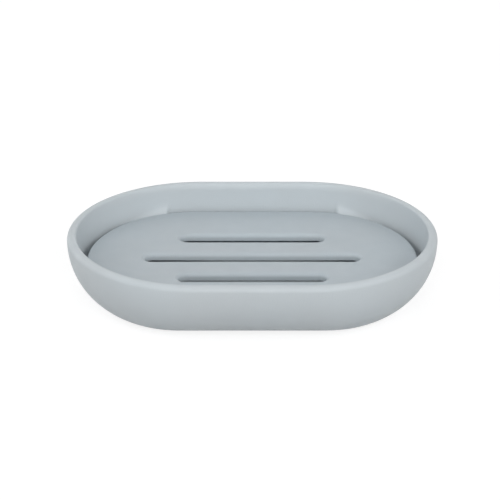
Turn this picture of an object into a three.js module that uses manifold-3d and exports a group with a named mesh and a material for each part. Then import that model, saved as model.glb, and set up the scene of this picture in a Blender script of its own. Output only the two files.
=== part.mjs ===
// A lift-out soap dish: a shallow moulded bowl with a stadium plan, a slotted drain tray that
// rests on two rails inside it, and four pads under its base.
// Millimetres, +Z up, +X along the length, origin under the middle of the dish on the counter.
import * as THREE from 'three';
import { mergeVertices } from 'three/addons/utils/BufferGeometryUtils.js';
import Module from 'manifold-3d';

// Dish, outside
const DISH_LENGTH = 140;
const DISH_WIDTH = 100;
const DISH_HEIGHT = 23.7;
const RIM_STRAIGHT = 40; // straight stretch of each long side at the rim
const BASE_LENGTH = 114.6;
const BASE_WIDTH = 72.8;
const BASE_STRAIGHT = 55;
const WALL_SWEEP = 72; // degrees of ellipse that the outside curves through, rim to base

// Dish, inside: a straight-walled well below the rim, and a bowl that curves in across its foot
const RIM_THICKNESS = 3.6;
const RIM_OUTER_RADIUS = 2.1;
const RIM_INNER_RADIUS = 1.3;
const WELL_DRAW_IN = 0.9; // of the well's wall, from the rim down to the seats
const BOWL_SIDE_WALL = 2.7; // from the outside to the bowl's curve, at the widest level
const BOWL_END_WALL = 1;
const BOWL_STRAIGHT = 34; // straight stretch of the bowl's long sides, at the widest level
const FLOOR_THICKNESS = 3;
const FLOOR_LENGTH = 112;
const FLOOR_WIDTH = 54;

// Drain tray
const TRAY_DROP = 10.8; // from the top of the rim down to the top of the tray
const TRAY_THICKNESS = 2.8;
const TRAY_STRAIGHT = 45; // straight stretch of each long side
const TRAY_END_GAP = 2.8; // to the well's ends
const TRAY_SIDE_GAP = 1.1; // to the bowl's sides, at the tray's lower edge
const TRAY_TOP_RADIUS = 0.6;
const TRAY_UNDER_RADIUS = 2.1;

// Drain slots, one long between two short
const SLOT_WIDTH = 6.3;
const LONG_SLOT_LENGTH = 81.6;
const SHORT_SLOT_LENGTH = 55.2;
const SLOT_PITCH = 17.9;
const SLOT_EDGE_RADIUS = 1.6;

// Seats that carry the tray: along each long side a pocket in the bowl, with a rail at its foot
const SEAT_LENGTH = 69;
const RAIL_WIDTH = 4.5;

// Pads under the base
const PAD_DIAMETER = 12;
const PAD_THICKNESS = 1.4;
const PAD_EDGE_RADIUS = 0.4;
const PAD_SOCKET_DEPTH = 0.6;
const PAD_SOCKET_CLEARANCE = 0.3;
const PAD_SPACING_X = 72;
const PAD_SPACING_Y = 40;

// Facets
const END_STEPS = 32; // around each round end of the dish and the tray
const SLOT_STEPS = 12; // around each round end of a slot
const WALL_STEPS = 12; // up the curve of a wall
const EDGE_STEPS = 4; // round an edge
const PAD_SIDES = 32;
const CREASE_HALVINGS = 40; // in the search for the crease between the well and the bowl

const { lerp, degToRad } = THREE.MathUtils;
const quarter = Math.PI / 2;

// Levels, from the underside of the dish
const widestLevel = DISH_HEIGHT - RIM_OUTER_RADIUS;
const flareLevel = DISH_HEIGHT - RIM_INNER_RADIUS;
const trayTop = DISH_HEIGHT - TRAY_DROP;
const seatLevel = trayTop - TRAY_THICKNESS;
const padProud = PAD_THICKNESS - PAD_SOCKET_DEPTH;

const wasm = await Module();
wasm.setup();

function solidOf(geometry) {
  geometry.deleteAttribute('normal');
  geometry.deleteAttribute('uv');
  const merged = mergeVertices(geometry);
  return new wasm.Manifold(new wasm.Mesh({
    numProp: 3,
    vertProperties: merged.getAttribute('position').array,
    triVerts: new Uint32Array(merged.getIndex().array),
  }));
}

function geometryOf(solid) {
  const { vertProperties, triVerts } = solid.getMesh();
  const geometry = new THREE.BufferGeometry();
  geometry.setAttribute('position', new THREE.BufferAttribute(vertProperties, 3));
  geometry.setIndex(new THREE.BufferAttribute(triVerts, 1));
  geometry.computeVertexNormals();
  return geometry;
}

// The distance along a ray, from a centre on the long axis, to an outline with two straight long
// sides and half-ellipse ends.
function rayLength({ halfLength, halfWidth, halfStraight }, centre, ray) {
  const reach = halfLength - halfStraight;
  const shift = centre - halfStraight;
  const a = (ray.x / reach) ** 2 + (ray.y / halfWidth) ** 2;
  const b = (shift * ray.x) / reach ** 2;
  const c = (shift / reach) ** 2 - 1;
  const toEllipse = (Math.sqrt(b * b - a * c) - b) / a;
  const onStraight = shift + toEllipse * ray.x < 0;
  return onStraight ? halfWidth / Math.abs(ray.y) : toEllipse;
}

// Points anticlockwise round an outline, on rays that fan out from a centre at each end. The
// outline's size and level may differ from ray to ray.
function outline(centre, steps, sizeOn) {
  const points = [];
  for (const end of [1, -1]) {
    for (let i = 0; i <= steps; i++) {
      const angle = lerp(-quarter, quarter, i / steps);
      const ray = new THREE.Vector2(Math.cos(angle), Math.sin(angle));
      const size = sizeOn(ray);
      const length = rayLength(size, centre, ray);
      points.push(new THREE.Vector3(end * (centre + length * ray.x), end * length * ray.y, size.level));
    }
  }
  return points;
}

// A level outline of the dish or the tray, grown or shrunk all round. They all share one centre,
// so their facets line up.
const dishCentre = RIM_STRAIGHT / 2;

function ring({ halfLength, halfWidth, halfStraight }, level, out = 0) {
  const size = { level, halfLength: halfLength + out, halfWidth: halfWidth + out, halfStraight };
  return outline(dishCentre, END_STEPS, () => size);
}

// A closed skin over outlines with equal numbers of points, listed from the bottom up, of which
// the first and the last are level.
function loft(rings) {
  const count = rings[0].length;
  const top = rings.length - 1;
  const points = rings.flat();
  const bottomCentre = points.length;
  const topCentre = bottomCentre + 1;
  points.push(new THREE.Vector3(0, 0, rings[0][0].z), new THREE.Vector3(0, 0, rings[top][0].z));

  const index = [];
  for (let i = 0; i < count; i++) {
    const next = (i + 1) % count;
    index.push(bottomCentre, next, i);
    index.push(topCentre, top * count + i, top * count + next);
    for (let row = 0; row < top; row++) {
      const low = row * count;
      const high = low + count;
      index.push(low + i, low + next, high + next);
      index.push(low + i, high + next, high + i);
    }
  }
  return new THREE.BufferGeometry().setFromPoints(points).setIndex(index);
}

// Steps of a quarter-round: how far out from its first edge, and how far up, at each angle.
function quarterRound(radius) {
  return Array.from({ length: EDGE_STEPS }, (_, i) => {
    const angle = (quarter * (i + 1)) / EDGE_STEPS;
    return { out: radius * (1 - Math.cos(angle)), up: radius * Math.sin(angle) };
  });
}

// A cutter's flared mouth: a quarter-round that carries straight on past the face it opens in.
function flare(radius) {
  const steps = quarterRound(radius);
  const [before, last] = steps.slice(-2);
  steps.push({ out: 2 * last.out - before.out, up: 2 * last.up - before.up });
  return steps;
}

// The outside wall is part of an ellipse, upright at its widest level and cut off by the base.
const sweep = degToRad(WALL_SWEEP);
const drawInAt = (angle) => (1 - Math.cos(angle)) / (1 - Math.cos(sweep));

function outerSize(angle) {
  const drawIn = drawInAt(angle);
  return {
    level: widestLevel * (1 - Math.sin(angle) / Math.sin(sweep)),
    halfLength: lerp(DISH_LENGTH, BASE_LENGTH, drawIn) / 2,
    halfWidth: lerp(DISH_WIDTH, BASE_WIDTH, drawIn) / 2,
    halfStraight: lerp(RIM_STRAIGHT, BASE_STRAIGHT, drawIn) / 2,
  };
}

function outerBody() {
  const rings = [];
  for (let i = WALL_STEPS; i >= 0; i--) {
    const size = outerSize((sweep * i) / WALL_STEPS);
    rings.push(ring(size, size.level));
  }
  for (const { out, up } of quarterRound(RIM_OUTER_RADIUS)) {
    rings.push(ring(outerSize(0), widestLevel + up, -out));
  }
  return solidOf(loft(rings));
}

// The well is straight-walled from the rounded mouth down, a little narrower at its foot.
const mouth = {
  halfLength: DISH_LENGTH / 2 - RIM_THICKNESS,
  halfWidth: DISH_WIDTH / 2 - RIM_THICKNESS,
  halfStraight: RIM_STRAIGHT / 2,
};

function wellSize(level) {
  const drawIn = (WELL_DRAW_IN * (flareLevel - level)) / (flareLevel - seatLevel);
  return {
    level,
    halfLength: mouth.halfLength - drawIn,
    halfWidth: mouth.halfWidth - drawIn,
    halfStraight: mouth.halfStraight,
  };
}

function mouthRings() {
  const rings = [ring(mouth, flareLevel)];
  for (const { out, up } of flare(RIM_INNER_RADIUS)) rings.push(ring(mouth, flareLevel + up, out));
  return rings;
}

// The bowl is a quarter ellipse that ends level with the floor. It comes up to the well's wall in
// a crease, higher along the sides than at the ends.
function bowlSize(angle) {
  const outward = Math.cos(angle);
  const floorStraight = FLOOR_LENGTH - FLOOR_WIDTH;
  return {
    level: lerp(widestLevel, FLOOR_THICKNESS, Math.sin(angle)),
    halfLength: lerp(FLOOR_LENGTH / 2, DISH_LENGTH / 2 - BOWL_END_WALL, outward),
    halfWidth: lerp(FLOOR_WIDTH / 2, DISH_WIDTH / 2 - BOWL_SIDE_WALL, outward),
    halfStraight: lerp(floorStraight, BOWL_STRAIGHT, outward) / 2,
  };
}

function creaseAngle(ray) {
  let within = quarter;
  let beyond = 0;
  for (let i = 0; i < CREASE_HALVINGS; i++) {
    const middle = (within + beyond) / 2;
    const size = bowlSize(middle);
    const toWell = rayLength(wellSize(size.level), dishCentre, ray);
    if (rayLength(size, dishCentre, ray) < toWell) within = middle;
    else beyond = middle;
  }
  return within;
}

function cavity() {
  const rings = [];
  for (let i = WALL_STEPS; i >= 0; i--) {
    const angleOn = (ray) => lerp(creaseAngle(ray), quarter, i / WALL_STEPS);
    rings.push(outline(dishCentre, END_STEPS, (ray) => bowlSize(angleOn(ray))));
  }
  return solidOf(loft([...rings, ...mouthRings()]));
}

const bowlDepth = widestLevel - FLOOR_THICKNESS;
const trayEdgeLevel = seatLevel + TRAY_UNDER_RADIUS;
const bowlAtTray = bowlSize(Math.asin((widestLevel - trayEdgeLevel) / bowlDepth));

function box(sizeX, [lowY, highY], [lowZ, highZ]) {
  const geometry = new THREE.BoxGeometry(sizeX, highY - lowY, highZ - lowZ);
  return solidOf(geometry.translate(0, (lowY + highY) / 2, (lowZ + highZ) / 2));
}

// Along each long side the bowl is cleared out to the well's wall above the seat, and filled
// below it by a rail.
function hollow() {
  const halfSide = DISH_WIDTH / 2;
  const railEdge = bowlAtTray.halfWidth - RAIL_WIDTH;
  const rails = [
    box(SEAT_LENGTH, [railEdge, halfSide], [0, seatLevel]),
    box(SEAT_LENGTH, [-halfSide, -railEdge], [0, seatLevel]),
  ];
  const foot = wellSize(seatLevel);
  const well = solidOf(loft([ring(foot, foot.level), ...mouthRings()]));
  const clearing = well.intersect(box(SEAT_LENGTH, [-halfSide, halfSide], [0, 2 * DISH_HEIGHT]));
  return rails.reduce((left, rail) => left.subtract(rail), cavity()).add(clearing);
}

const padCorners = [
  { name: 'foot_pad_front_left', x: -PAD_SPACING_X / 2, y: -PAD_SPACING_Y / 2 },
  { name: 'foot_pad_front_right', x: PAD_SPACING_X / 2, y: -PAD_SPACING_Y / 2 },
  { name: 'foot_pad_back_left', x: -PAD_SPACING_X / 2, y: PAD_SPACING_Y / 2 },
  { name: 'foot_pad_back_right', x: PAD_SPACING_X / 2, y: PAD_SPACING_Y / 2 },
];

function padSocket({ x, y }) {
  const radius = PAD_DIAMETER / 2 + PAD_SOCKET_CLEARANCE;
  const geometry = new THREE.CylinderGeometry(radius, radius, 2 * PAD_SOCKET_DEPTH, PAD_SIDES);
  return solidOf(geometry.rotateX(quarter).translate(x, y, 0));
}

function dishGeometry() {
  const shell = outerBody().subtract(hollow());
  return geometryOf(padCorners.reduce((left, pad) => left.subtract(padSocket(pad)), shell));
}

// The tray's own level 0 is its underside.
function trayPlate() {
  const size = {
    halfLength: mouth.halfLength - WELL_DRAW_IN - TRAY_END_GAP,
    halfWidth: bowlAtTray.halfWidth - TRAY_SIDE_GAP,
    halfStraight: TRAY_STRAIGHT / 2,
  };
  const rings = [];
  for (const { out, up } of quarterRound(TRAY_UNDER_RADIUS).reverse()) {
    rings.push(ring(size, TRAY_UNDER_RADIUS - up, -out));
  }
  const topEdge = TRAY_THICKNESS - TRAY_TOP_RADIUS;
  rings.push(ring(size, TRAY_UNDER_RADIUS), ring(size, topEdge));
  for (const { out, up } of quarterRound(TRAY_TOP_RADIUS)) rings.push(ring(size, topEdge + up, -out));
  return solidOf(loft(rings));
}

function slotCutter(length, y) {
  const halfStraight = (length - SLOT_WIDTH) / 2;
  const rings = [];
  const addRing = (level, out) => {
    const size = { level, halfLength: length / 2 + out, halfWidth: SLOT_WIDTH / 2 + out, halfStraight };
    rings.push(outline(halfStraight, SLOT_STEPS, () => size));
  };
  const flareStart = TRAY_THICKNESS - SLOT_EDGE_RADIUS;
  addRing(-TRAY_THICKNESS, 0);
  addRing(flareStart, 0);
  for (const { out, up } of flare(SLOT_EDGE_RADIUS)) addRing(flareStart + up, out);
  return solidOf(loft(rings).translate(0, y, 0));
}

function trayGeometry() {
  const slots = [
    slotCutter(LONG_SLOT_LENGTH, 0),
    slotCutter(SHORT_SLOT_LENGTH, SLOT_PITCH),
    slotCutter(SHORT_SLOT_LENGTH, -SLOT_PITCH),
  ];
  return geometryOf(slots.reduce((left, slot) => left.subtract(slot), trayPlate()));
}

// A turned disc with a softened lower edge, whose own level 0 is the counter.
function padGeometry() {
  const radius = PAD_DIAMETER / 2;
  const profile = [new THREE.Vector2(0, 0)];
  for (const { out, up } of quarterRound(PAD_EDGE_RADIUS).reverse()) {
    profile.push(new THREE.Vector2(radius - out, PAD_EDGE_RADIUS - up));
  }
  profile.push(new THREE.Vector2(radius, PAD_EDGE_RADIUS));
  profile.push(new THREE.Vector2(radius, PAD_THICKNESS));
  profile.push(new THREE.Vector2(0, PAD_THICKNESS));
  return new THREE.LatheGeometry(profile, PAD_SIDES).rotateX(quarter);
}

const moulded = new THREE.MeshStandardMaterial({ color: 0xb4c0c8, roughness: 0.55, metalness: 0 });
const rubber = new THREE.MeshStandardMaterial({ color: 0x8d9498, roughness: 0.85, metalness: 0 });

const soapDish = new THREE.Group();

const dish = new THREE.Mesh(dishGeometry(), moulded);
dish.name = 'dish';
dish.position.z = padProud;
soapDish.add(dish);

const tray = new THREE.Mesh(trayGeometry(), moulded);
tray.name = 'drain_tray';
tray.position.z = padProud + seatLevel;
soapDish.add(tray);

for (const { name, x, y } of padCorners) {
  const pad = new THREE.Mesh(padGeometry(), rubber);
  pad.name = name;
  pad.position.set(x, y, 0);
  soapDish.add(pad);
}

export default soapDish;
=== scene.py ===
"""A lift-out soap dish: the moulded bowl, its slotted drain tray and the pads under its base.

Metres, +Z up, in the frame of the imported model. The pieces are lofted again here with fine smooth
surfaces, in the sizes of the solids that they stand for, but for a slightly different bowl inside.
"""
import math
from collections import namedtuple

import bmesh
import bpy
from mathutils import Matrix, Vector


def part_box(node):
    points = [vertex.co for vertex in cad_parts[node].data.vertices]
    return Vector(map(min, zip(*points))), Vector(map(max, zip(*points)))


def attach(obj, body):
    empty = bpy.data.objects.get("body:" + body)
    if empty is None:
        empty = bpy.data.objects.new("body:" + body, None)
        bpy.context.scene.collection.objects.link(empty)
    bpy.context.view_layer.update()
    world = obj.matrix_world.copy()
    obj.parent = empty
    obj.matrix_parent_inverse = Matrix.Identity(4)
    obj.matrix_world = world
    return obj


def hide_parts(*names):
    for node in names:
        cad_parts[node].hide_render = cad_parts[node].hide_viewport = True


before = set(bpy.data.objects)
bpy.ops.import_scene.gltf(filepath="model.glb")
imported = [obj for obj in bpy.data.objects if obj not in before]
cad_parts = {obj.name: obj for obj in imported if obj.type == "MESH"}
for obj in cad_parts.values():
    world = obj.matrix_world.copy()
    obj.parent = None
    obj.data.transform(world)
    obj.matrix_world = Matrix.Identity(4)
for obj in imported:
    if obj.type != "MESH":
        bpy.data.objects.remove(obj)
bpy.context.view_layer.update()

MM = 0.001
QUARTER = math.pi / 2

# Overall sizes and levels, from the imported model
dish_low, dish_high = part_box("dish")
tray_low, tray_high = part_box("drain_tray")
BASE_LEVEL = dish_low.z
RIM_LEVEL = dish_high.z
SEAT_LEVEL = tray_low.z
TRAY_LEVEL = tray_high.z
HALF_LENGTH = (dish_high.x - dish_low.x) / 2
HALF_WIDTH = (dish_high.y - dish_low.y) / 2
TRAY_HALF_LENGTH = (tray_high.x - tray_low.x) / 2
TRAY_HALF_WIDTH = (tray_high.y - tray_low.y) / 2

# The outside of the bowl. Lengths and straights along the dish are halves, from its middle.
RIM_STRAIGHT = 20 * MM
BASE_STRAIGHT = 27.5 * MM
BASE_HALF_LENGTH = 57.3 * MM
BASE_HALF_WIDTH = 36.4 * MM
WALL_SWEEP = math.radians(72)  # how much of an ellipse the outside curves through
BASE_EDGE = 1.4 * MM  # reach of the softened edge over the base
BASE_EDGE_SWEEP = math.radians(4)  # and up the wall

# The inside: a straight-walled well below the rim, and a bowl that curves in across its foot
RIM_THICKNESS = 3.6 * MM
RIM_OUTER_RADIUS = 2.1 * MM
RIM_INNER_RADIUS = 1.3 * MM
RIM_INNER_DROP = 3 * MM  # how far down the long walls the rim's inner edge is softened
RIM_END_RADIUS = 0.7 * MM  # of that edge at the two ends
WELL_DRAW_IN = 0.9 * MM  # of the well's wall, from the rim down to the seats
BOWL_SIDE_WALL = 4.5 * MM  # from the outside to the bowl's curve, at the widest level
BOWL_END_WALL = 1 * MM
BOWL_STRAIGHT = 25 * MM
FLOOR_THICKNESS = 3 * MM
FLOOR_HALF_LENGTH = 56 * MM
FLOOR_HALF_WIDTH = 27 * MM
CREASE_TOP = 3.8 * MM  # above the tray: past the pockets the bowl is beyond the well from here up
CREASE_BLEND = 0.4 * MM  # how close the bowl and the well come before one softens into the other

# The seats that carry the tray
SEAT_HALF_LENGTH = 34.5 * MM
SEAT_END = 1.8 * MM  # length of the slope at each end of a pocket
RAIL_EDGE = 40 * MM  # from the middle of the dish
RAIL_EDGE_RADIUS = 0.5 * MM

# The tray's edges and slots
TRAY_STRAIGHT = 22.5 * MM
TRAY_TOP_RADIUS = 0.6 * MM
TRAY_UNDER_RADIUS = 2.1 * MM
SLOT_HALF_WIDTH = 3.15 * MM
LONG_SLOT = 40.8 * MM
SHORT_SLOT = 27.6 * MM
SLOT_PITCH = 17.9 * MM
SLOT_TOP_RADIUS = 1.6 * MM
SLOT_UNDER_RADIUS = 0.1 * MM

# The pads
PAD_NODES = [
    "foot_pad_front_left",
    "foot_pad_front_right",
    "foot_pad_back_left",
    "foot_pad_back_right",
]
PAD_SOCKET_DEPTH = 0.6 * MM
PAD_SOCKET_CLEARANCE = 0.3 * MM
PAD_EDGE_RADIUS = 0.4 * MM

# Levels that follow
WIDEST_LEVEL = RIM_LEVEL - RIM_OUTER_RADIUS
FLOOR_LEVEL = BASE_LEVEL + FLOOR_THICKNESS
CREASE_LEVEL = TRAY_LEVEL + CREASE_TOP

# Fineness of the meshes
END_STEPS = 44  # round a quarter of a plan outline, past its columns
WALL_STEPS = 28
CREASE_STEPS = 28
ROUND_STEPS = 8
FINE_ROUND_STEPS = 16  # on the rim's inner edge and round the top of a slot
CIRCLE_STEPS = 64
SHARP_ANGLE = math.radians(40)
WELD = 0.001 * MM


def mix(a, b, share):
    return a + (b - a) * share


def smooth_step(share):
    share = min(max(share, 0), 1)
    return share * share * (3 - 2 * share)


# Plan outlines. A size is the half length, half width, half straight and level of one of them:
# straight long sides, joined by half-ellipse ends.

Size = namedtuple("Size", "half_length half_width half_straight level")

# Where an outline has its points along the dish: close together round the ends of the pockets
CLOSE_FROM = 29 * MM
CLOSE_TO = 39 * MM
WIDE_COLUMNS = 14
CLOSE_COLUMNS = 40
COLUMNS = [CLOSE_FROM * i / WIDE_COLUMNS for i in range(WIDE_COLUMNS)]
COLUMNS += [mix(CLOSE_FROM, CLOSE_TO, i / CLOSE_COLUMNS) for i in range(CLOSE_COLUMNS + 1)]


def mix_size(a, b, share):
    return Size(*(mix(u, v, share) for u, v in zip(a, b)))


def grow(size, out, level):
    return Size(size.half_length + out, size.half_width + out, size.half_straight, level)


def across(size, x):
    """How far an outline lies from the middle line, at x along the dish."""
    past = max(x - size.half_straight, 0) / (size.half_length - size.half_straight)
    return size.half_width * math.sqrt(1 - past * past)


def along_ray(size, ray):
    """How far an outline's end lies from the middle of the dish's round end, along a ray."""
    reach = size.half_length - size.half_straight
    shift = RIM_STRAIGHT - size.half_straight
    a = (ray.x / reach) ** 2 + (ray.y / size.half_width) ** 2
    b = shift * ray.x / reach ** 2
    c = (shift / reach) ** 2 - 1
    return (math.sqrt(b * b - a * c) - b) / a


def least(lengths):
    """The least of one or two lengths, softened where they are close."""
    closeness = max(CREASE_BLEND - max(lengths) + min(lengths), 0) / CREASE_BLEND
    return min(lengths) - (len(lengths) - 1) * CREASE_BLEND * closeness ** 2 / 4


def outline(sizes, shape=None):
    """Anticlockwise points of the space inside one or two sizes.

    shape, where given, moves the points of the long sides across the dish.
    """
    edge = least([across(size, CLOSE_TO) for size in sizes])
    start = math.atan2(edge, CLOSE_TO - RIM_STRAIGHT)
    quarter = []
    for i in range(END_STEPS):
        angle = start * i / END_STEPS
        ray = Vector((math.cos(angle), math.sin(angle)))
        ray_end = least([along_ray(size, ray) for size in sizes]) * ray
        quarter.append((RIM_STRAIGHT + ray_end.x, ray_end.y))
    for x in reversed(COLUMNS):
        y = least([across(size, x) for size in sizes])
        quarter.append((x, shape(x, y) if shape else y))
    return (
        quarter
        + [(-x, y) for x, y in reversed(quarter[:-1])]
        + [(-x, -y) for x, y in quarter[1:]]
        + [(x, -y) for x, y in reversed(quarter[1:-1])]
    )


def stadium(half_length, half_width, centre_y, steps):
    """Anticlockwise points of a slot's outline: two straight sides and two half-round ends."""
    points = []
    for end in (1, -1):
        for i in range(steps + 1):
            angle = math.pi * i / steps - QUARTER
            x = half_length - half_width + half_width * math.cos(angle)
            points.append((end * x, centre_y + end * half_width * math.sin(angle)))
    return points


def circle(radius, centre):
    angles = [2 * math.pi * i / CIRCLE_STEPS for i in range(CIRCLE_STEPS)]
    return [(centre.x + radius * math.cos(a), centre.y + radius * math.sin(a)) for a in angles]


# Building

def place(name, data):
    obj = bpy.data.objects.new(name, data)
    bpy.context.scene.collection.objects.link(obj)
    return obj


def add_ring(bm, points, level):
    return [bm.verts.new((x, y, level)) for x, y in points]


def skin(bm, rings):
    """Quads between each ring and the next, facing out where the rings are listed upwards."""
    for low, high in zip(rings, rings[1:]):
        for i in range(len(low)):
            j = (i + 1) % len(low)
            bm.faces.new((low[i], low[j], high[j], high[i]))


def fill(bm, loops, up):
    """A flat face inside the first loop, with the others left open."""
    edges = []
    for loop in loops:
        for a, b in zip(loop, loop[1:] + loop[:1]):
            edges.append(bm.edges.get((a, b)) or bm.edges.new((a, b)))
    made = bmesh.ops.triangle_fill(bm, edges=edges, use_beauty=True)["geom"]
    for face in made:
        if isinstance(face, bmesh.types.BMFace):
            face.normal_update()
            if (face.normal.z > 0) != up:
                face.normal_flip()


def piece(name, bm, material, body, node):
    mesh = bpy.data.meshes.new(name)
    bm.to_mesh(mesh)
    bm.free()
    mesh.materials.append(material)
    mesh.shade_smooth()
    mesh.set_sharp_from_angle(angle=SHARP_ANGLE)
    obj = place(name, mesh)
    normals = obj.modifiers.new("weighted_normals", "WEIGHTED_NORMAL")
    normals.keep_sharp = True
    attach(obj, body)
    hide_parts(node)


def quarter_round(radius, steps=ROUND_STEPS):
    """(out, up) along a quarter circle that starts upright and ends level."""
    angles = [QUARTER * (i + 1) / steps for i in range(steps)]
    return [(radius * (1 - math.cos(a)), radius * math.sin(a)) for a in angles]


# The bowl

def bend(before, corner, after):
    """Sizes along a smooth bend that takes the place of a corner."""
    shares = [i / ROUND_STEPS for i in range(ROUND_STEPS + 1)]
    return [mix_size(mix_size(before, corner, t), mix_size(corner, after, t), t) for t in shares]


def outer_size(angle):
    draw_in = (1 - math.cos(angle)) / (1 - math.cos(WALL_SWEEP))
    return Size(
        mix(HALF_LENGTH, BASE_HALF_LENGTH, draw_in),
        mix(HALF_WIDTH, BASE_HALF_WIDTH, draw_in),
        mix(RIM_STRAIGHT, BASE_STRAIGHT, draw_in),
        mix(WIDEST_LEVEL, BASE_LEVEL, math.sin(angle) / math.sin(WALL_SWEEP)),
    )


WIDEST = outer_size(0)
MOUTH = grow(WIDEST, -RIM_THICKNESS, RIM_LEVEL - RIM_INNER_RADIUS)
BOWL_TOP = Size(HALF_LENGTH - BOWL_END_WALL, HALF_WIDTH - BOWL_SIDE_WALL, BOWL_STRAIGHT, WIDEST_LEVEL)
BOWL_FLOOR = Size(
    FLOOR_HALF_LENGTH, FLOOR_HALF_WIDTH, FLOOR_HALF_LENGTH - FLOOR_HALF_WIDTH, FLOOR_LEVEL
)


def well_size(level):
    draw_in = WELL_DRAW_IN * (MOUTH.level - level) / (MOUTH.level - SEAT_LEVEL)
    return grow(MOUTH, -draw_in, level)


def bowl_size(level):
    depth = (WIDEST_LEVEL - level) / (WIDEST_LEVEL - FLOOR_LEVEL)
    return mix_size(BOWL_FLOOR, BOWL_TOP, math.sqrt(1 - depth * depth))._replace(level=level)


def outer_sizes():
    """The outside, from the edge of the base up to the top of the rim."""
    corner = outer_size(WALL_SWEEP)
    turn = WALL_SWEEP - BASE_EDGE_SWEEP
    sizes = bend(grow(corner, -BASE_EDGE, BASE_LEVEL), corner, outer_size(turn))
    sizes += [outer_size(turn * i / WALL_STEPS) for i in reversed(range(WALL_STEPS))]
    sizes += [grow(WIDEST, -out, WIDEST_LEVEL + up) for out, up in quarter_round(RIM_OUTER_RADIUS)]
    return sizes


def mouth_sizes():
    """The inside, from the top of the rim down the well's wall to where the bowl meets it.

    The rim's inner edge is softened further down along the sides than at the ends.
    """
    foot = RIM_LEVEL - RIM_INNER_DROP
    sizes = []
    for out, up in reversed(quarter_round(RIM_INNER_RADIUS, FINE_ROUND_STEPS)):
        level = foot + up * RIM_INNER_DROP / RIM_INNER_RADIUS
        rise = max(1 - (RIM_LEVEL - level) / RIM_END_RADIUS, 0)
        end_out = RIM_END_RADIUS * (1 - math.sqrt(1 - rise * rise))
        wall = well_size(level)
        sizes.append(Size(wall.half_length + end_out, wall.half_width + out, wall.half_straight, level))
    levels = [mix(foot, CREASE_LEVEL, i / ROUND_STEPS) for i in range(ROUND_STEPS)]
    return sizes + [well_size(level) for level in levels]


def pocket_wall(level):
    """Moves the wall above a seat out to the well, with a short slope at each end."""
    def shape(x, y):
        clear = smooth_step((SEAT_HALF_LENGTH - x) / SEAT_END)
        return mix(y, across(well_size(level), x), clear)

    return shape


def rail_wall(edge):
    """Fills in the wall below a seat to the rail's straight edge."""
    return lambda x, y: min(y, edge) if x < SEAT_HALF_LENGTH else y


def bowl():
    bm = bmesh.new()
    rings = [add_ring(bm, outline([size]), size.level) for size in outer_sizes() + mouth_sizes()]

    def add_inner(level, shape):
        rings.append(add_ring(bm, outline([well_size(level), bowl_size(level)], shape), level))

    for i in range(CREASE_STEPS + 1):
        level = mix(CREASE_LEVEL, SEAT_LEVEL, i / CREASE_STEPS)
        add_inner(level, pocket_wall(level))
    rail_top = SEAT_LEVEL - RAIL_EDGE_RADIUS
    for out, up in reversed(quarter_round(RAIL_EDGE_RADIUS)):
        add_inner(rail_top + up, rail_wall(RAIL_EDGE + out))
    for i in range(WALL_STEPS + 1):
        level = mix(rail_top, FLOOR_LEVEL, math.sin(QUARTER * i / WALL_STEPS))
        add_inner(level, rail_wall(RAIL_EDGE))
    skin(bm, rings)
    fill(bm, [rings[-1]], up=True)

    sockets = []
    for low, high in (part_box(node) for node in PAD_NODES):
        points = circle((high.x - low.x) / 2 + PAD_SOCKET_CLEARANCE, (low + high) / 2)
        mouth = add_ring(bm, points, BASE_LEVEL)
        roof = add_ring(bm, points, BASE_LEVEL + PAD_SOCKET_DEPTH)
        skin(bm, [roof, mouth])
        fill(bm, [roof], up=False)
        sockets.append(mouth)
    fill(bm, [rings[0]] + sockets, up=False)
    bmesh.ops.remove_doubles(bm, verts=bm.verts, dist=WELD)
    return bm


# The tray

def slot_rings(bm, half_length, centre_y):
    rings = []

    def add(out, level):
        points = stadium(half_length + out, SLOT_HALF_WIDTH + out, centre_y, WALL_STEPS)
        rings.append(add_ring(bm, points, level))

    for out, up in reversed(quarter_round(SLOT_TOP_RADIUS, FINE_ROUND_STEPS)):
        add(out, TRAY_LEVEL - SLOT_TOP_RADIUS + up)
    add(0, TRAY_LEVEL - SLOT_TOP_RADIUS)
    add(0, SEAT_LEVEL + SLOT_UNDER_RADIUS)
    for out, up in quarter_round(SLOT_UNDER_RADIUS):
        add(out, SEAT_LEVEL + SLOT_UNDER_RADIUS - up)
    skin(bm, rings)
    return rings


def tray():
    bm = bmesh.new()
    rings = []

    def add(inset, level):
        size = Size(TRAY_HALF_LENGTH - inset, TRAY_HALF_WIDTH - inset, TRAY_STRAIGHT, level)
        rings.append(add_ring(bm, outline([size]), level))

    for out, up in reversed(quarter_round(TRAY_UNDER_RADIUS)):
        add(out, SEAT_LEVEL + TRAY_UNDER_RADIUS - up)
    add(0, SEAT_LEVEL + TRAY_UNDER_RADIUS)
    add(0, TRAY_LEVEL - TRAY_TOP_RADIUS)
    for out, up in quarter_round(TRAY_TOP_RADIUS):
        add(out, TRAY_LEVEL - TRAY_TOP_RADIUS + up)
    skin(bm, rings)
    slots = [
        slot_rings(bm, LONG_SLOT, 0),
        slot_rings(bm, SHORT_SLOT, SLOT_PITCH),
        slot_rings(bm, SHORT_SLOT, -SLOT_PITCH),
    ]
    fill(bm, [rings[-1]] + [slot[0] for slot in slots], up=True)
    fill(bm, [rings[0]] + [slot[-1] for slot in slots], up=False)
    return bm


# The pads

def pad(node):
    bm = bmesh.new()
    low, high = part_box(node)
    centre = (low + high) / 2
    radius = (high.x - low.x) / 2
    rings = []
    for out, up in reversed(quarter_round(PAD_EDGE_RADIUS)):
        rings.append(add_ring(bm, circle(radius - out, centre), low.z + PAD_EDGE_RADIUS - up))
    rings.append(add_ring(bm, circle(radius, centre), low.z + PAD_EDGE_RADIUS))
    rings.append(add_ring(bm, circle(radius, centre), high.z))
    skin(bm, rings)
    fill(bm, [rings[0]], up=False)
    fill(bm, [rings[-1]], up=True)
    return bm


# Materials

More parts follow.
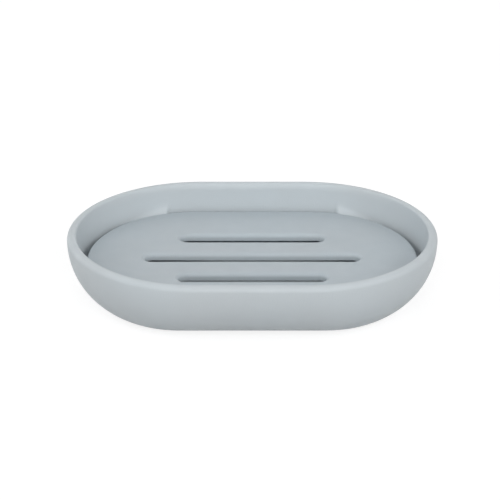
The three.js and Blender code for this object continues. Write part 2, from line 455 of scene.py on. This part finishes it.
# Noises: the size of what they show, and how much finer detail is in it
GRAIN_NOISE = (0.35 * MM, 2)
WAVE_NOISE = (16 * MM, 1)
PATCH_NOISE = (6 * MM, 4)
SHADE_NOISE = (30 * MM, 3)
SATURATION_NOISE = (30 * MM, 1)
SATURATION_REACH = 3  # how many times further the saturation drifts than the shade
NOISE_LOW, NOISE_HIGH = 0.3, 0.7  # between which nearly all of a noise lies
EDGE_LOW, EDGE_HIGH = 0.52, 0.6  # pointiness, from a flat surface to a sharp edge


def add_node(tree, kind, settings=None, links=None):
    node = tree.nodes.new(kind)
    for socket, setting in (settings or {}).items():
        node.inputs[socket].default_value = setting
    for socket, output in (links or {}).items():
        tree.links.new(output, node.inputs[socket])
    return node


def moulded(name, colour, drift, roughness, patchiness, edge_highlight_and_wear, grain, wave):
    """A moulded surface.

    Its colour drifts slowly, its roughness varies in patches, its edges are rubbed smoother and
    painted lighter, a painted highlight along the edges that also stands for rubbed wear, and it
    has a fine grain and a slow wave, given as heights in millimetres.
    """
    material = bpy.data.materials.new(name)
    material.use_nodes = True
    tree = material.node_tree
    shader = tree.nodes["Principled BSDF"]
    position = add_node(tree, "ShaderNodeTexCoord").outputs["Object"]
    pointiness = add_node(tree, "ShaderNodeNewGeometry").outputs["Pointiness"]

    def noise(size, detail):
        settings = {"Scale": 1 / size, "Detail": detail}
        return add_node(tree, "ShaderNodeTexNoise", settings, {"Vector": position}).outputs["Fac"]

    def spread(value, low, high, start, end):
        settings = {"From Min": low, "From Max": high, "To Min": start, "To Max": end}
        return add_node(tree, "ShaderNodeMapRange", settings, {"Value": value}).outputs["Result"]

    def vary(kind, middle, reach):
        return spread(noise(*kind), NOISE_LOW, NOISE_HIGH, middle - reach, middle + reach)

    def relief(kind, height):
        return spread(noise(*kind), 0, 1, 0, height)

    def at_edges(change):
        return spread(pointiness, EDGE_LOW, EDGE_HIGH, 0, change)

    def total(a, b):
        return add_node(tree, "ShaderNodeMath", links={0: a, 1: b}).outputs["Value"]

    saturation = vary(SATURATION_NOISE, 1, SATURATION_REACH * drift)
    # The colour is lifted at convex edges: a painted highlight along rims and slot edges, also standing
    # for rubbed wear
    shade = total(vary(SHADE_NOISE, 1, drift), at_edges(edge_highlight_and_wear))
    tint = add_node(
        tree,
        "ShaderNodeHueSaturation",
        {"Color": (*colour, 1)},
        {"Saturation": saturation, "Value": shade},
    )
    dullness = total(vary(PATCH_NOISE, roughness, patchiness), at_edges(-edge_highlight_and_wear))
    height = total(relief(GRAIN_NOISE, grain), relief(WAVE_NOISE, wave))
    bump = add_node(tree, "ShaderNodeBump", {"Distance": MM}, {"Height": height})
    tree.links.new(tint.outputs["Color"], shader.inputs["Base Color"])
    tree.links.new(dullness, shader.inputs["Roughness"])
    tree.links.new(bump.outputs["Normal"], shader.inputs["Normal"])
    return material


dish_plastic = moulded(
    "dish_plastic", (0.523, 0.569, 0.595), drift=0.02, roughness=0.52, patchiness=0.08,
    edge_highlight_and_wear=0.02, grain=0.06, wave=0.1,
)
# The tray is a darker copy of the dish's plastic: the darkness is painted shade for the tray lying low
# in the bowl
tray_plastic = moulded(
    "tray_plastic", (0.447, 0.5, 0.534), drift=0.02, roughness=0.5, patchiness=0.08,
    edge_highlight_and_wear=0.02, grain=0.1, wave=0.06,
)
pad_rubber = moulded(
    "pad_rubber", (0.25, 0.27, 0.28), drift=0.04, roughness=0.78, patchiness=0.08,
    edge_highlight_and_wear=0.08, grain=0.15, wave=0.02,
)

piece("dish_bowl", bowl(), dish_plastic, "dish", "dish")
piece("slotted_tray", tray(), tray_plastic, "tray", "drain_tray")
for pad_node in PAD_NODES:
    pad_name = pad_node.replace("foot_", "rubber_")
    piece(pad_name, pad(pad_node), pad_rubber, "dish", pad_node)


# Stage

FLOOR_HALF = 0.8
FLOOR_DROP = 0.05 * MM  # below the pads, so that the two faces don't flicker
FLOOR_BOUNCE = 0.57  # what the floor gives back to the dish
FLOOR_SHADE = 0.3  # what the camera sees of the light and shade on it
FLOOR_GLOW = 0.8  # and what lifts it to white
WORLD_LIGHT = 0.14

# Softboxes round the dish: azimuth, elevation, diameter, power.
# Azimuth 0 is the camera's side and 90 the right.
SOFTBOX_DISTANCE = 1.5
SOFTBOXES = {
    "front_softbox": (0, 28, 1.2, 11),
    "left_front_softbox": (-45, 35, 1, 2.2),
    "right_front_softbox": (45, 35, 1, 5.1),
    "left_softbox": (-90, 30, 1, 4.1),
    "right_softbox": (90, 30, 1, 3.3),
    "left_high_softbox": (-75, 58, 1, 1.6),
    "left_back_softbox": (-130, 15, 1, 2.8),
    "right_back_softbox": (130, 15, 1, 1.4),
    "back_softbox": (180, 48, 1, 3),
}


def away_from_dish(azimuth, elevation):
    turn = math.radians(azimuth)
    lift = math.radians(elevation)
    level = math.cos(lift)
    return Vector((math.sin(turn) * level, -math.cos(turn) * level, math.sin(lift)))


def softbox(name, azimuth, elevation, diameter, power):
    away = away_from_dish(azimuth, elevation)
    light = bpy.data.lights.new(name, "AREA")
    light.shape = "DISK"
    light.size = diameter
    light.energy = power
    lamp = place(name, light)
    lamp.location = away * SOFTBOX_DISTANCE
    lamp.rotation_euler = away.to_track_quat("Z", "Y").to_euler()


def camera_sees(tree):
    """A factor that is 1 on rays that show the background to the camera."""
    path = add_node(tree, "ShaderNodeLightPath")
    factor = path.outputs["Is Camera Ray"]
    for ray in ("Is Glossy Ray", "Is Transmission Ray"):
        either = add_node(tree, "ShaderNodeMath", links={0: factor, 1: path.outputs[ray]})
        either.operation = "MAXIMUM"
        factor = either.outputs["Value"]
    return factor


def pale_floor():
    mesh = bpy.data.meshes.new("floor")
    sides = [(-1, -1), (1, -1), (1, 1), (-1, 1)]
    corners = [(x * FLOOR_HALF, y * FLOOR_HALF, -FLOOR_DROP) for x, y in sides]
    mesh.from_pydata(corners, [], [(0, 1, 2, 3)])
    place("floor", mesh)

    material = bpy.data.materials.new("floor_white")
    material.use_nodes = True
    tree = material.node_tree
    tree.nodes.clear()

    def add_shader(kind, settings=None, links=None):
        return add_node(tree, kind, settings, links).outputs[0]

    def grey(level):
        return add_shader("ShaderNodeBsdfDiffuse", {"Color": (level, level, level, 1)})

    bounce = grey(FLOOR_BOUNCE)
    shade = grey(FLOOR_SHADE)
    glow = add_shader("ShaderNodeEmission", {"Strength": FLOOR_GLOW})
    seen = add_shader("ShaderNodeAddShader", links={0: shade, 1: glow})
    chosen = add_shader("ShaderNodeMixShader", links={0: camera_sees(tree), 1: bounce, 2: seen})
    add_node(tree, "ShaderNodeOutputMaterial", links={"Surface": chosen})
    mesh.materials.append(material)


def studio_world():
    world = bpy.data.worlds.new("studio")
    world.use_nodes = True
    tree = world.node_tree
    background = tree.nodes["Background"]
    background.inputs["Color"].default_value = (1, 1, 1, 1)
    seen = camera_sees(tree)
    strength = add_node(tree, "ShaderNodeMix", {"A": WORLD_LIGHT, "B": 1}, {"Factor": seen})
    tree.links.new(strength.outputs["Result"], background.inputs["Strength"])
    return world


scene = bpy.context.scene
scene.world = studio_world()
scene.view_settings.view_transform = "Standard"
pale_floor()
for softbox_name, setting in SOFTBOXES.items():
    softbox(softbox_name, *setting)

# Camera, at the photograph's viewing angle and distance
PHOTO = 500  # pixels along each side of the picture
SENSOR = 36
CAMERA_ELEVATION = 24.73
CAMERA_DISTANCE = 847.6 * MM
TARGET_HEIGHT = 12.5 * MM  # above the base
TARGET_PIXEL = (252.28, 258.03)
PIXELS_PER_METRE = 2630  # at the target

camera_data = bpy.data.cameras.new("camera")
camera_data.sensor_width = SENSOR
camera_data.lens = PIXELS_PER_METRE * CAMERA_DISTANCE / PHOTO * SENSOR
camera_data.shift_x = -(TARGET_PIXEL[0] - PHOTO / 2) / PHOTO
camera_data.shift_y = (TARGET_PIXEL[1] - PHOTO / 2) / PHOTO
camera = place("camera", camera_data)
target = Vector((0, 0, BASE_LEVEL + TARGET_HEIGHT))
camera.location = target + CAMERA_DISTANCE * away_from_dish(0, CAMERA_ELEVATION)
camera.rotation_euler = (QUARTER - math.radians(CAMERA_ELEVATION), 0, 0)
scene.camera = camera
